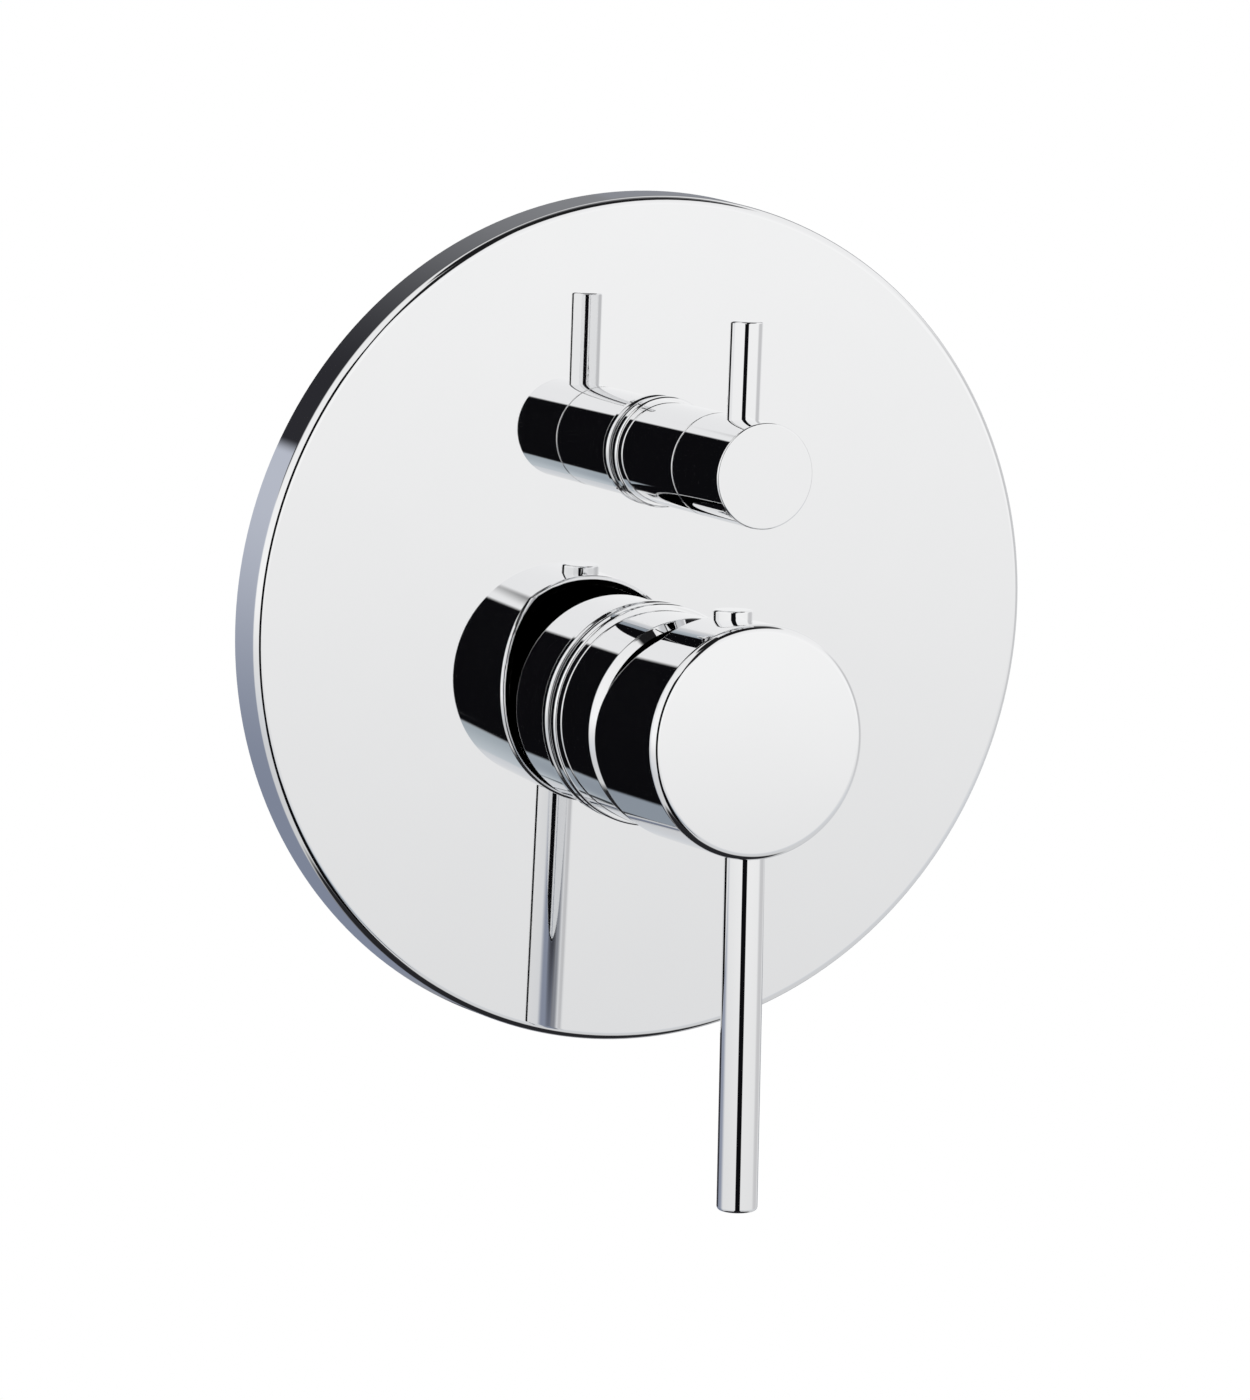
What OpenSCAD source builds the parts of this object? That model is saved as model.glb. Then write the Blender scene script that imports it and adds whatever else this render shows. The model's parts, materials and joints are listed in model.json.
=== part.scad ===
// Concealed single-lever shower mixer with a two-way diverter.
// Frame: X to the right, Y into the wall, Z up. The origin is the centre of the
// round plate in the plane of the finished wall, so the controls are at negative Y.
// Heights named "out" are distances from the finished wall towards the room.

/* [Plate] */
// Diameter of the round wall plate
plate_d = 180; // [170:1:200]
// Distance of the plate's face from the wall
plate_depth = 10; // [8.5:0.5:12]
// Thickness of the plate's sheet
plate_wall = 1.2; // [0.8:0.1:1.4]
// Outer radius of the plate's rounded front edge
plate_edge_r = 1.8; // [1.6:0.1:3]
// Radial thickness of the foam gasket inside the plate's rim
gasket_w = 3; // [2:0.5:6]
// Depth of the foam gasket along the rim
gasket_depth = 5; // [3:0.5:6]

/* [Control positions] */
// Height of the main control's axis above the plate's centre
main_z = -19; // [-24:0.5:-16]
// Height of the diverter's axis above the plate's centre
diverter_z = 36.5; // [35:0.5:42]

/* [Main sleeve] */
// Outer diameter of the fixed sleeve behind the handle
sleeve_d = 45.5; // [45:0.1:47]
// Distance of the sleeve's front from the plate's face
sleeve_reach = 19.4; // [18.8:0.1:19.6]
// Thickness of the lip that closes the sleeve's front
sleeve_lip = 2; // [1.5:0.5:3]
// Diameter of the opening in the sleeve's front
sleeve_mouth_d = 32; // [30:1:36]
// Width of the bevel on the sleeve's front edge
sleeve_bevel = 1.4; // [0.8:0.1:1.6]
// How far the foot ring stands out past the sleeve
foot_w = 0.95; // [0.8:0.05:1.4]
// Height of the foot ring of either sleeve
foot_h = 2.5; // [2:0.1:3]
// Rounding of the foot ring's edge towards the plate
foot_back_r = 0.8; // [0.5:0.1:0.8]
// Rounding of the foot ring's edge towards the room
foot_front_r = 0.55; // [0.3:0.05:0.7]
// Thickness of the seal between either foot ring and the plate
foot_seal_h = 0.7; // [0.5:0.1:1]

/* [Handle] */
// Outer diameter of the handle
handle_d = 48; // [46:0.5:50]
// Distance of the handle's front from the plate's face
handle_reach = 49.7; // [49:0.1:52]
// Distance of the handle's back edge from the plate's face, on its lower half
handle_back = 22.1; // [21:0.1:23]
// Radius of the curve in which the back edge rises above its lower half
back_curve_r = 38.4; // [34:0.2:42]
// Height below the axis at which the back edge starts to rise
back_curve_drop = 6; // [4:0.5:8]
// Distance of the back edge's highest part from the plate's face
back_top = 31.8; // [31:0.1:32]
// Wall thickness of the hollow handle
handle_wall = 2; // [1.5:0.1:2.5]
// Thickness of the handle's front
cap_wall = 3; // [2.5:0.5:4]
// Rounding of the handle's front edge
handle_edge_r = 1.7; // [1:0.1:1.9]
// Diameter of the hub inside the handle
hub_d = 17; // [15:0.5:18]
// Distance of the hub's inner end from the plate's face
hub_back = 28; // [27.5:0.5:30]
// Outward lean of the handle at the closed stop
rake = 2.1; // [0:0.1:3]
// Angle through which the handle lifts from closed to full flow
lift_travel = 23; // [18:1:24]

/* [Handle lever] */
// Diameter of the pin lever
lever_d = 8.4; // [7:0.1:8.8]
// Distance of the lever's axis from the plate's face
lever_out = 44.3; // [43:0.1:44.6]
// Distance of the lever's lower end from the handle's axis
lever_reach = 97; // [80:1:120]
// Rounding of the lever's end
lever_end_r = 0.8; // [0.3:0.1:1.5]
// Diameter of the stud that screws the lever into the handle
lever_stud_d = 5; // [4:0.5:6]
// Diameter of the index plug's head
plug_d = 8.2; // [7:0.1:9]
// Height of the plug's head above the handle
plug_h = 1.8; // [1:0.1:2.5]
// Distance of the plug and the grub screw from the plate's face
plug_out = 36.9; // [36.6:0.1:37.5]
// Diameter of the plug's stem
plug_stem_d = 5.2; // [4.5:0.1:6]
// Diameter of the handle's grub screw
grub_d = 5; // [4:0.5:6]

/* [Main cartridge] */
// Outer diameter of the cartridge
cartridge_d = 34.6; // [34:0.1:35]
// Wall thickness of the cartridge's housing
housing_wall = 2; // [1.8:0.1:2.2]
// Distance of the spindle's pivot from the wall
pivot_out = 12; // [11.5:0.5:12.5]
// Distance of the spindle's ball from its pivot
spindle_arm = 12; // [11:0.5:13]
// Diameter of the spindle's ball
ball_d = 6; // [5:0.5:6.5]
// Width across the spindle's square stem
spindle_w = 8; // [7:0.5:8]
// Diameter of the pivot pin
pin_d = 3; // [2.5:0.5:3.5]
// Diameter of the rotor's neck
rotor_neck_d = 23.8; // [23.6:0.1:24]
// Thickness of the moving ceramic disc
moving_disc_h = 4; // [3.5:0.5:4.5]
// Diameter of the moving ceramic disc
moving_disc_d = 25; // [24.6:0.1:25.2]
// Thickness of the fixed ceramic disc
fixed_disc_h = 3; // [2.5:0.5:4]
// Thickness of the cartridge's base
base_h = 6; // [5:0.5:7]
// Diameter of the three ports through the base
port_d = 5.2; // [4.6:0.1:5.4]
// Sideways distance of the hot and cold ports from the axis
port_x = 6.5; // [6.3:0.1:6.8]
// Distance of the hot and cold ports below the axis
port_drop = 4; // [3.8:0.1:4.3]
// Height of the cartridge nut
nut_h = 6; // [5:0.5:7]

/* [Diverter] */
// Outer diameter of the diverter's knob and sleeve
knob_d = 21.5; // [21.2:0.1:23]
// Distance of the seam between sleeve and knob from the plate's face
seam_out = 27.2; // [25:0.1:29]
// Width of the seam between sleeve and knob
seam_gap = 0.3; // [0.2:0.1:0.6]
// Distance of the knob's front from the plate's face
knob_reach = 47.7; // [46:0.1:49]
// Rounding of the knob's front edge
knob_edge_r = 0.35; // [0.2:0.05:0.8]
// How far the diverter sleeve's foot ring stands out past the sleeve
knob_foot_w = 0.9; // [0.8:0.05:1.4]
// Diameter of the diverter's pin lever
pin_lever_d = 6.7; // [6:0.1:7.5]
// Distance of the diverter lever's axis from the plate's face
pin_lever_out = 37.1; // [35:0.1:39]
// Distance of the diverter lever's tip from the knob's axis
pin_lever_reach = 30.2; // [24:0.1:36]
// Diameter of the diverter's spindle
stem_d = 7.9; // [7.5:0.1:8.3]
// Diameter of the diverter's ceramic discs
small_disc_d = 14.8; // [14:0.2:15]
// Thickness of each of the diverter's ceramic discs
small_disc_h = 3; // [2.5:0.5:3.5]

/* [Valve body] */
// Depth of the valve body behind the finished wall
body_depth = 50; // [50:1:60]
// Depth of the pipe connections behind the finished wall
pipe_depth = 30; // [29.5:0.5:31]
// Diameter of the body's barrel round the main cartridge
barrel_d = 50; // [48:1:54]
// Diameter of the body's barrel round the diverter
small_barrel_d = 34; // [33:1:37]
// Distance from the main axis to each inlet's mouth
inlet_reach = 56; // [54:1:60]
// Height of the upper outlet's mouth above the plate's centre
upper_outlet_z = 66; // [66:1:70]
// Depth of the lower outlet's mouth below the plate's centre
lower_outlet_z = 78; // [76:1:90]
// Minor diameter of the pipe threads
thread_d = 18.6; // [18.4:0.1:18.8]
// Length of the pipe threads
thread_l = 14; // [12:0.5:15]
// Width across the flats of the hexagonal pipe ends
hex_w = 30; // [27:0.5:32]
// Diameter of the waterways
waterway_d = 10; // [8:0.5:10]
// Sideways spacing of the wall fixing holes
fixing_x = 68; // [64:1:76]
// Upright spacing of the wall fixing holes
fixing_z = 58; // [54:1:66]
// Diameter of the wall fixing holes
fixing_d = 5.5; // [4.5:0.1:6.5]
// Thickness of the fixing lugs
lug_h = 5; // [4:0.5:6]

/* [Fits] */
// Radial gap of a piece that turns in another
running = 0.08; // [0.03:0.01:0.1]
// Radial gap of a screwed or pushed joint
seat = 0.05; // [0.03:0.01:0.1]
// Gap round a loosely guided piece
loose = 0.3; // [0.2:0.05:0.4]

/* [Hidden] */
$fn = 96;
cut = 1;

chrome = [0.83, 0.84, 0.86];
brass = [0.78, 0.62, 0.34];
steel = [0.62, 0.63, 0.65];
rubber = [0.1, 0.1, 0.11];
ceramic = [0.93, 0.92, 0.88];
plastic = [0.85, 0.86, 0.84];

// Plate and the holes in it
plate_r = plate_d / 2;
face_out = plate_depth;
collar_r = sleeve_d / 2 - 2.25;
sleeve_bore_r = collar_r + seat;
spigot_r = sleeve_d / 2 - 0.85;
plate_hole_r = spigot_r + seat;
spigot_back = plate_depth - plate_wall - 0.8;
knob_r = knob_d / 2;
bush_top_r = knob_r - 1.65;
knob_bore_r = bush_top_r + seat;
knob_spigot_r = knob_r - 0.9;
foot_back_out = face_out + foot_seal_h;

// Main control, all distances from the wall
sleeve_front = face_out + sleeve_reach;
handle_front = face_out + handle_reach;
handle_r = handle_d / 2;
hub_r = hub_d / 2;
open_angle = rake + lift_travel;
ball_out = pivot_out - spindle_arm;
carrier_front = ball_out + 2;
pocket_floor = ball_out - ball_d / 2 - 2 * loose;
carrier_back = pocket_floor - 1.9;
moving_disc_back = carrier_back - moving_disc_h;
fixed_disc_back = moving_disc_back - fixed_disc_h;
chamber_floor = fixed_disc_back - base_h;
rotor_back = carrier_front + loose;
rotor_flange_front = rotor_back + 5.7;
rotor_front = pivot_out + 7;
cartridge_r = cartridge_d / 2;
housing_bore_r = cartridge_r - housing_wall;
rotor_r = housing_bore_r - running;
rotor_neck_r = rotor_neck_d / 2;
shoulder_out = pivot_out + 2;
housing_neck_r = rotor_neck_r + running + 1.5;
nut_front = shoulder_out + nut_h;
nut_r = cartridge_r + 1.2;
collar_front = nut_front - 0.5;
arm_d = ball_d - 1.2;
eye_r = spindle_w / 2 + 1.5;
slot_gap = 0.5;
slot_up = (rotor_front - pivot_out) * tan(open_angle) + spindle_w / 2 / cos(open_angle) + slot_gap;
slot_down = spindle_arm * sin(open_angle) + ball_d / 2 + slot_gap;
stroke = spindle_arm * (sin(open_angle) - sin(rake));
carrier_z = main_z + stroke / 2;
carrier_r = moving_disc_d / 2 - 0.5;
ball_z = main_z - spindle_arm * sin(rake);
rail_x = 9;
rail_w = 2;
rail_h = 2.5;
peg_x = 6;
peg_r = 1.5;
peg_l = 1.5;
recess_r = 4.6;
recess_x = 1.5;

// Diverter, all distances from the wall
seam = face_out + seam_out;
knob_back = seam + seam_gap;
knob_front = face_out + knob_reach;
stem_r = stem_d / 2;
stem_front = knob_front - 8;
neck_front = -3;
washer_h = 1;
bush_flange_back = neck_front + washer_h;
bush_flange_front = bush_flange_back + 5;
bush_front = face_out + 12;
bush_thread_r = small_barrel_d / 2 - 4.6;
bush_bore_r = stem_r + running;
small_disc_r = small_disc_d / 2;
nose_bore_r = small_disc_r + 0.2;
nose_r = nose_bore_r + 1.4;
web_back = -8;
small_moving_front = web_back - 4.5;
small_moving_back = small_moving_front - small_disc_h;
small_fixed_back = small_moving_back - small_disc_h;
seat_seal_h = 1.5;
small_chamber_floor = small_fixed_back - seat_seal_h;
small_port_at = 3;
small_port_r = 2.4;

// Valve body
socket_hex_r = hex_w / 2 / cos(30);
gallery_r = 3;
mixed_gallery_out = chamber_floor - gallery_r - 1;
lower_gallery_r = 4;
lower_gallery_out = -(pipe_depth + waterway_d / 2 + lower_gallery_r + 3);
annulus_z = diverter_z - (nose_r + bush_thread_r) / 2 - 0.1;
link_z = -(lower_outlet_z - thread_l - 8);

// Local frame of a control: local Z points out of the wall and local Y points up
module control_frame(z) {
    translate([0, 0, z]) rotate([90, 0, 0]) children();
}

// Local frame of what turns with the handle, leaning out at the pivot
module handle_frame() {
    translate([0, -pivot_out, main_z]) rotate([90 - rake, 0, 0])
        translate([0, 0, -pivot_out]) children();
}

// Flat ring or washer
module ring(r_in, r_out, back, front) {
    translate([0, 0, back]) difference() {
        cylinder(r = r_out, h = front - back);
        translate([0, 0, -cut]) cylinder(r = r_in, h = front - back + 2 * cut);
    }
}

// Section of a solid of revolution whose front outer edge is rounded
module rounded_section(r, back, front, edge) {
    translate([0, back]) square([r, front - back - edge]);
    translate([0, back]) square([r - edge, front - back]);
    translate([r - edge, front - edge]) circle(r = edge);
}

// Turned disc with a rounded front edge
module rounded_disc(r, back, front, edge) {
    rotate_extrude() intersection() {
        rounded_section(r, back, front, edge);
        translate([0, back]) square([r + cut, front - back]);
    }
}

// Sleeve of a control: bevelled tube, foot ring above its seal, and spigot through the plate
module sleeve(r, bore_r, foot, bevel, front, mouth_r, lip, spigot) {
    foot_r = r + foot;
    front_out = foot_back_out + foot_h;
    rotate_extrude() difference() {
        union() {
            polygon([[0, foot_back_out], [r, foot_back_out], [r, front - bevel], [r - bevel, front], [0, front]]);
            translate([0, spigot_back]) square([spigot, foot_back_out - spigot_back + cut]);
            translate([0, foot_back_out]) square([foot_r - foot_back_r, foot_h]);
            translate([0, foot_back_out + foot_back_r]) square([foot_r - foot_front_r, foot_h - foot_back_r]);
            translate([0, foot_back_out + foot_back_r]) square([foot_r, foot_h - foot_back_r - foot_front_r]);
            translate([foot_r - foot_back_r, foot_back_out + foot_back_r]) circle(r = foot_back_r);
            translate([foot_r - foot_front_r, front_out - foot_front_r]) circle(r = foot_front_r);
        }
        translate([-cut, spigot_back - cut]) square([bore_r + cut, front - lip - spigot_back + cut]);
        translate([-cut, spigot_back]) square([mouth_r + cut, front - spigot_back + cut]);
    }
}

module foot_seal(r, spigot) {
    ring(spigot + seat + 0.1, r, face_out, foot_back_out);
}

// Wall plate: one drawn shell, open at the back, with a hole for each control
module escutcheon_plate() {
    inner_r = plate_r - plate_wall;
    inner_edge = plate_edge_r - plate_wall;
    color(chrome) difference() {
        rotate([90, 0, 0]) rotate_extrude() difference() {
            intersection() {
                rounded_section(plate_r, 0, plate_depth, plate_edge_r);
                square([plate_r + cut, plate_depth]);
            }
            intersection() {
                rounded_section(inner_r, -cut, plate_depth - plate_wall, inner_edge);
                translate([0, -cut]) square([plate_r, plate_depth]);
            }
        }
        control_frame(main_z) translate([0, 0, -cut]) cylinder(r = plate_hole_r, h = plate_depth + 2 * cut);
        control_frame(diverter_z) translate([0, 0, -cut])
            cylinder(r = knob_spigot_r + seat, h = plate_depth + 2 * cut);
    }
}

module plate_gasket() {
    gasket_r = plate_r - plate_wall;
    color(rubber) rotate([90, 0, 0]) ring(gasket_r - gasket_w, gasket_r, 0, gasket_depth);
}

module main_sleeve() {
    color(chrome) control_frame(main_z)
        sleeve(sleeve_d / 2, sleeve_bore_r, foot_w, sleeve_bevel, sleeve_front,
            sleeve_mouth_d / 2, sleeve_lip, spigot_r);
}

module main_foot_seal() {
    color(rubber) control_frame(main_z) foot_seal(sleeve_d / 2, spigot_r);
}

// What the cut across the handle's back takes away: flat below, then rising in a curve
module back_waste() {
    wide = 2 * handle_d;
    difference() {
        translate([-wide / 2, -wide / 2, face_out - cut]) cube([wide, wide, back_top + cut]);
        translate([-wide, -wide - back_curve_drop, face_out + handle_back]) cube([2 * wide, wide, handle_reach]);
        translate([-wide, -back_curve_drop, face_out + handle_back + back_curve_r]) rotate([0, 90, 0])
            cylinder(r = back_curve_r, h = 2 * wide);
    }
}

// Handle: hollow cup with a swept back, a hub for the spindle, a boss for the lever
// and a spot face for the index plug
module handle_body() {
    lever_axis = face_out + lever_out;
    plug_axis = face_out + plug_out;
    inner_r = handle_r - handle_wall;
    boss_r = lever_d / 2 + 2;
    color(chrome) handle_frame() difference() {
        union() {
            difference() {
                rounded_disc(handle_r, face_out, handle_front, handle_edge_r);
                translate([0, 0, face_out - cut])
                    cylinder(r = inner_r, h = handle_front - cap_wall - face_out + cut);
                back_waste();
            }
            translate([0, 0, face_out + hub_back])
                cylinder(r = hub_r, h = handle_front - cap_wall / 2 - face_out - hub_back);
            intersection() {
                translate([0, 0, lever_axis]) rotate([90, 0, 0]) cylinder(r = boss_r, h = inner_r + 0.5);
                translate([0, 0, face_out]) cylinder(r = inner_r + 0.5, h = handle_front - 0.5 - face_out);
            }
        }
        // square socket for the spindle
        translate([-spindle_w / 2 - seat, -spindle_w / 2 - seat, face_out])
            cube([spindle_w + 2 * seat, spindle_w + 2 * seat, handle_front - cap_wall - 2 - face_out]);
        // seat and thread for the lever
        translate([0, -lever_seat_r, lever_axis]) rotate([90, 0, 0])
            cylinder(r = lever_d / 2 + seat, h = handle_r);
        translate([0, -spindle_w / 2, lever_axis]) rotate([90, 0, 0])
            cylinder(r = lever_stud_d / 2 + seat, h = handle_r - spindle_w / 2);
        // grub screw thread, plug hole and spot face
        translate([0, 0, plug_axis]) rotate([-90, 0, 0]) cylinder(r = grub_d / 2 + seat, h = hub_r + cut);
        translate([0, inner_r - cut, plug_axis]) rotate([-90, 0, 0])
            cylinder(r = plug_stem_d / 2 + seat, h = handle_r);
        translate([0, spot_r, plug_axis]) rotate([-90, 0, 0])
            cylinder(r = plug_d / 2 + seat, h = handle_r);
    }
}
lever_seat_r = handle_r - handle_wall - 2;
spot_r = sqrt(handle_r * handle_r - plug_d * plug_d / 4) - 0.15;

// Pin with a rounded far end along local Z
module pin_bar(d, from, to, end_r) {
    rounded_disc(d / 2, from, to, end_r);
}

module handle_lever() {
    color(chrome) handle_frame() translate([0, 0, face_out + lever_out]) rotate([90, 0, 0]) {
        pin_bar(lever_d, lever_seat_r, lever_reach, lever_end_r);
        translate([0, 0, hub_r + 1]) cylinder(d = lever_stud_d, h = lever_seat_r - hub_r);
    }
}

// Grub screw with a hexagon socket, pressing on the spindle
module grub(d, l) {
    difference() {
        cylinder(d = d, h = l);
        translate([0, 0, l * 0.5]) cylinder(d = d * 0.55, h = l, $fn = 6);
    }
}

module handle_screw() {
    color(steel) handle_frame() translate([0, spindle_w / 2, face_out + plug_out])
        rotate([-90, 0, 0]) grub(grub_d, hub_r - spindle_w / 2);
}

module index_plug() {
    stem_l = handle_wall + 2.5;
    color(chrome) handle_frame() translate([0, 0, face_out + plug_out]) rotate([-90, 0, 0]) {
        rounded_disc(plug_d / 2, spot_r, handle_r + plug_h, 0.5);
        translate([0, 0, handle_r - stem_l]) cylinder(d = plug_stem_d, h = stem_l);
    }
}

// Spindle: square stem in the handle, eye on the pivot pin, arm and ball in the carrier
module spindle() {
    stem_front_out = handle_front - cap_wall - 3;
    color(steel) handle_frame() difference() {
        union() {
            translate([-spindle_w / 2, -spindle_w / 2, pivot_out])
                cube([spindle_w, spindle_w, stem_front_out - pivot_out]);
            translate([-spindle_w / 2, 0, pivot_out]) rotate([0, 90, 0]) cylinder(r = eye_r, h = spindle_w);
            translate([0, 0, ball_out]) cylinder(d = arm_d, h = spindle_arm);
            translate([0, 0, ball_out]) sphere(d = ball_d);
        }
        translate([-spindle_w, 0, pivot_out]) rotate([0, 90, 0])
            cylinder(r = pin_d / 2 + running, h = 2 * spindle_w);
    }
}

module pivot_pin() {
    pin_l = 2 * (rotor_neck_r - 1);
    color(steel) translate([-pin_l / 2, -pivot_out, main_z]) rotate([0, 90, 0])
        cylinder(d = pin_d, h = pin_l);
}

// Rotor: turns in the housing, carries the pivot pin, and drives the carrier by two rails
module cartridge_rotor() {
    color(plastic) control_frame(main_z) difference() {
        union() {
            translate([0, 0, rotor_back]) cylinder(r = rotor_r, h = rotor_flange_front - rotor_back);
            translate([0, 0, rotor_back]) cylinder(r = rotor_neck_r, h = rotor_front - rotor_back);
            for (side = [-1, 1])
                translate([side * rail_x - rail_w / 2, -rail_x, rotor_back - rail_h])
                    cube([rail_w, 2 * rail_x, rail_h + cut]);
        }
        translate([-spindle_w / 2 - 0.15, -slot_down, rotor_back - cut])
            cube([spindle_w + 0.3, slot_down + slot_up, rotor_front - rotor_back + 2 * cut]);
        translate([-rotor_r, 0, pivot_out]) rotate([0, 90, 0]) cylinder(r = pin_d / 2 + 0.02, h = 2 * rotor_r);
    }
}

module cartridge_housing() {
    color([0.32, 0.34, 0.36]) control_frame(main_z) difference() {
        union() {
            translate([0, 0, fixed_disc_back]) cylinder(r = cartridge_r, h = shoulder_out - fixed_disc_back);
            translate([0, 0, shoulder_out]) cylinder(r = housing_neck_r, h = rotor_front - 0.5 - shoulder_out);
        }
        translate([0, 0, fixed_disc_back - cut])
            cylinder(r = housing_bore_r, h = rotor_flange_front + 0.1 - fixed_disc_back + cut);
        translate([0, 0, rotor_back]) cylinder(r = rotor_neck_r + running, h = rotor_front);
    }
}

// Ring nut with spanner notches that holds the cartridge in the body
module cartridge_nut() {
    notches = 6;
    color(brass) control_frame(main_z) difference() {
        ring(housing_neck_r + 0.2, nut_r, shoulder_out, nut_front);
        for (i = [0 : notches - 1])
            rotate([0, 0, i * 360 / notches + 15]) translate([nut_r - 2.2, -1.5, nut_front - 2])
                cube([4, 3, 3]);
    }
}

// Carrier: takes the spindle's ball, slides on the rotor's rails and pushes the moving disc
module disc_carrier() {
    color(plastic) difference() {
        control_frame(carrier_z) difference() {
            union() {
                translate([0, 0, carrier_back]) cylinder(r = carrier_r, h = carrier_front - carrier_back);
                for (side = [-1, 1])
                    translate([side * peg_x, 0, carrier_back - peg_l]) cylinder(r = peg_r, h = peg_l + cut);
            }
            for (side = [-1, 1])
                translate([side * rail_x - rail_w / 2 - 0.15, -carrier_r, rotor_back - rail_h - loose])
                    cube([rail_w + 0.3, 2 * carrier_r, rail_h + 2]);
        }
        control_frame(ball_z) translate([0, 0, pocket_floor])
            cylinder(r = ball_d / 2 + loose, h = ball_d * 2);
    }
}

// Moving disc: its blind recess joins the mixed port to the hot and cold ports when open
module moving_disc() {
    color(ceramic) control_frame(carrier_z) difference() {
        translate([0, 0, moving_disc_back]) cylinder(d = moving_disc_d, h = moving_disc_h);
        for (side = [-1, 1]) {
            translate([side * peg_x, 0, carrier_back - peg_l - 0.3])
                cylinder(r = peg_r + seat, h = peg_l + cut);
            translate([side * recess_x, 0, moving_disc_back - cut])
                cylinder(r = recess_r, h = moving_disc_h * 0.4 + cut);
        }
        translate([-recess_x, -recess_r, moving_disc_back - cut])
            cube([2 * recess_x, 2 * recess_r, moving_disc_h * 0.4 + cut]);
    }
}

// The three port axes shared by the fixed disc, the base and the valve body
module at_ports() {
    for (side = [-1, 1]) translate([side * port_x, -port_drop]) children();
    children();
}

module fixed_disc() {
    color(ceramic) control_frame(main_z) difference() {
        translate([0, 0, fixed_disc_back]) cylinder(r = housing_bore_r - loose, h = fixed_disc_h);
        at_ports() translate([0, 0, fixed_disc_back - cut]) cylinder(d = port_d, h = fixed_disc_h + 2 * cut);
    }
}

disc_seal_r = cartridge_r - 4.8;
module disc_seal() {
    color(rubber) control_frame(main_z) ring(disc_seal_r, disc_seal_r + 1, fixed_disc_back - 1.4, fixed_disc_back);
}

base_seal_w = 0.7;
module cartridge_base() {
    color(plastic) control_frame(main_z) difference() {
        translate([0, 0, chamber_floor]) cylinder(r = cartridge_r, h = base_h);
        at_ports() translate([0, 0, chamber_floor - cut]) cylinder(d = port_d, h = base_h + 2 * cut);
        ring(disc_seal_r, disc_seal_r + 1, fixed_disc_back - 1.4, fixed_disc_back + cut);
        at_ports() ring(port_d / 2 + 0.3, port_d / 2 + 0.3 + base_seal_w, chamber_floor - cut, chamber_floor + 1.2);
    }
}

module base_seals() {
    color(rubber) control_frame(main_z)
        at_ports() ring(port_d / 2 + 0.3, port_d / 2 + 0.3 + base_seal_w, chamber_floor, chamber_floor + 1.2);
}

module diverter_sleeve() {
    color(chrome) control_frame(diverter_z)
        sleeve(knob_r, knob_bore_r, knob_foot_w, 0.2, seam, knob_bore_r, 0, knob_spigot_r);
}

module diverter_foot_seal() {
    color(rubber) control_frame(diverter_z) foot_seal(knob_r, knob_spigot_r);
}

knob_seat_r = knob_r - 2.8;
module diverter_knob() {
    lever_axis = face_out + pin_lever_out;
    color(chrome) control_frame(diverter_z) difference() {
        rounded_disc(knob_r, knob_back, knob_front, knob_edge_r);
        translate([0, 0, knob_back - cut]) cylinder(r = knob_r - 2, h = 3 + cut);
        translate([0, 0, knob_back - cut]) cylinder(r = stem_r + seat, h = stem_front + 0.5 - knob_back + cut);
        translate([0, knob_seat_r, lever_axis]) rotate([-90, 0, 0]) cylinder(r = pin_lever_d / 2 + seat, h = knob_r);
        translate([0, 0, lever_axis]) rotate([-90, 0, 0]) cylinder(r = 2 + seat, h = knob_r);
        translate([0, 0, lever_axis]) rotate([90, 0, 0]) cylinder(r = 2 + seat, h = knob_r + cut);
    }
}

module diverter_lever() {
    color(chrome) control_frame(diverter_z) translate([0, 0, face_out + pin_lever_out]) rotate([-90, 0, 0]) {
        pin_bar(pin_lever_d, knob_seat_r, pin_lever_reach, 0.5);
        translate([0, 0, stem_r + 0.4]) cylinder(r = 2, h = knob_seat_r - stem_r);
    }
}

module diverter_screw() {
    color(steel) control_frame(diverter_z) translate([0, -stem_r, face_out + pin_lever_out])
        rotate([90, 0, 0]) grub(4, knob_r - 1 - stem_r);
}

// Diverter spindle with two seal grooves, a collar under the web and a driving tongue
groove_1 = 2;
groove_2 = 8;
clip_h = 1;
tongue_w = 3.2;
module diverter_spindle() {
    color(steel) control_frame(diverter_z) difference() {
        union() {
            translate([0, 0, small_moving_front]) cylinder(r = stem_r, h = stem_front - small_moving_front);
            translate([0, 0, web_back - 1.9]) cylinder(r = stem_r + 1.4, h = 1.8);
            rotate([0, 0, -45]) translate([-small_disc_r + 1, -tongue_w / 2, small_moving_front - 1.5])
                cube([2 * small_disc_r - 2, tongue_w, 2.6]);
        }
        for (out = [groove_1, groove_2]) ring(stem_r - 1.1, stem_r + cut, out, out + 1.3);
        ring(stem_r - 0.8, stem_r + cut, bush_front + 0.05, bush_front + 0.1 + clip_h);
    }
}

module stem_seals() {
    color(rubber) control_frame(diverter_z) for (out = [groove_1, groove_2])
        translate([0, 0, out + 0.65]) rotate_extrude() translate([stem_r - 0.52, 0]) circle(r = 0.5);
}

module stem_clip() {
    color(steel) control_frame(diverter_z) translate([0, 0, bush_front + 0.07]) difference() {
        cylinder(r = stem_r + 1.8, h = clip_h);
        translate([0, 0, -cut]) cylinder(r = stem_r - 0.75, h = clip_h + 2 * cut);
        translate([-1.5, 0, -cut]) cube([3, stem_r + 3, clip_h + 2 * cut]);
    }
}

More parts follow.
